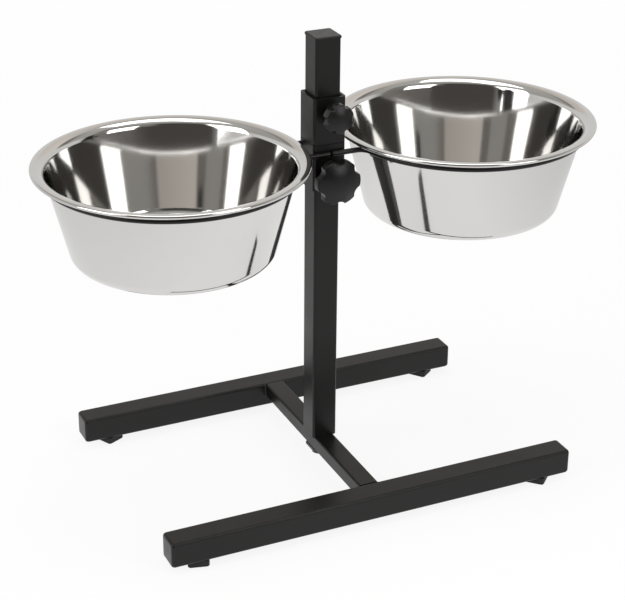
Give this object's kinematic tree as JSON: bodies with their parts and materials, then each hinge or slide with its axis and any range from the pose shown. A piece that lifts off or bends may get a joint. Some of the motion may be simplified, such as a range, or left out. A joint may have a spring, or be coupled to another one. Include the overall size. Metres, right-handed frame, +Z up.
{
  "type": "double pedestal dog bowl",
  "caption": "Raised feeder for a dog: steel bowls in wire rings on a sleeve that slides up and down a square post and is clamped by star knobs, on an H-shaped tube base.",
  "frame": {"origin": "on the floor under the axis of the post, in the middle of the four feet", "axes": "+X along the legs towards the right bowl, +Y from the knobs to the rear leg, +Z up"},
  "size_m": [0.547, 0.2717, 0.44],
  "materials": {
    "powder_coat": "satin black powder coat",
    "black_plastic": "fine-grained moulded black",
    "black_rubber": "dull black",
    "zinc_steel": "bright zinc plate",
    "polished_steel": "mirror-polished stainless"
  },
  "bodies": {
    "stand": {"front_leg_tube": "powder_coat", "rear_leg_tube": "powder_coat", "cross_bar": "powder_coat", "front_left_cap": "black_plastic", "front_right_cap": "black_plastic", "rear_left_cap": "black_plastic", "rear_right_cap": "black_plastic", "front_left_foot": "black_rubber", "front_right_foot": "black_rubber", "rear_left_foot": "black_rubber", "rear_right_foot": "black_rubber", "foot_screws": "zinc_steel", "post_tube": "powder_coat", "post_cap": "black_plastic", "base_plug": "zinc_steel", "post_bolt": "zinc_steel", "post_washer": "zinc_steel"},
    "carrier": {"carrier_sleeve": "powder_coat", "carrier_nut": "powder_coat", "left_bowl_ring": "powder_coat", "right_bowl_ring": "powder_coat"},
    "carrier_screw": {"carrier_screw": "zinc_steel"},
    "carrier_knob": {"carrier_knob": "black_plastic"},
    "collar": {"collar_sleeve": "powder_coat", "collar_nut": "powder_coat"},
    "collar_screw": {"collar_screw": "zinc_steel"},
    "collar_knob": {"collar_knob": "black_plastic"},
    "left_bowl": {"left_bowl": "polished_steel"},
    "right_bowl": {"right_bowl": "polished_steel"}
  },
  "joints": [
    {"name": "carrier_height", "type": "slide", "parent": "stand", "child": "carrier", "axis": [0, 0, 1], "range_m": [-0.24, 0]},
    {"name": "carrier_screw_travel", "type": "slide", "parent": "carrier", "child": "carrier_screw", "axis": [0, -1, 0], "range_m": [0, 0.0025]},
    {"name": "carrier_knob_turn", "type": "hinge", "parent": "carrier_screw", "child": "carrier_knob", "pos_m": [0, -0.034, 0.3095], "axis": [0, -1, 0], "range_deg": [0, 720]},
    {"name": "collar_height", "type": "slide", "parent": "stand", "child": "collar", "axis": [0, 0, 1], "range_m": [0, 0.05]},
    {"name": "collar_screw_travel", "type": "slide", "parent": "collar", "child": "collar_screw", "axis": [0, -1, 0], "range_m": [0, 0.0025]},
    {"name": "collar_knob_turn", "type": "hinge", "parent": "collar_screw", "child": "collar_knob", "pos_m": [0, -0.034, 0.37], "axis": [0, -1, 0], "range_deg": [0, 720]},
    {"name": "left_bowl_lift", "type": "slide", "parent": "carrier", "child": "left_bowl", "axis": [0, 0, 1], "range_m": [0, 0.12]},
    {"name": "right_bowl_lift", "type": "slide", "parent": "carrier", "child": "right_bowl", "axis": [0, 0, 1], "range_m": [0, 0.12]}
  ],
  "couplings": [
    {"joint": "carrier_knob_turn", "follows": "carrier_screw_travel", "rad_per_m": 5026.5},
    {"joint": "collar_knob_turn", "follows": "collar_screw_travel", "rad_per_m": 5026.5}
  ]
}
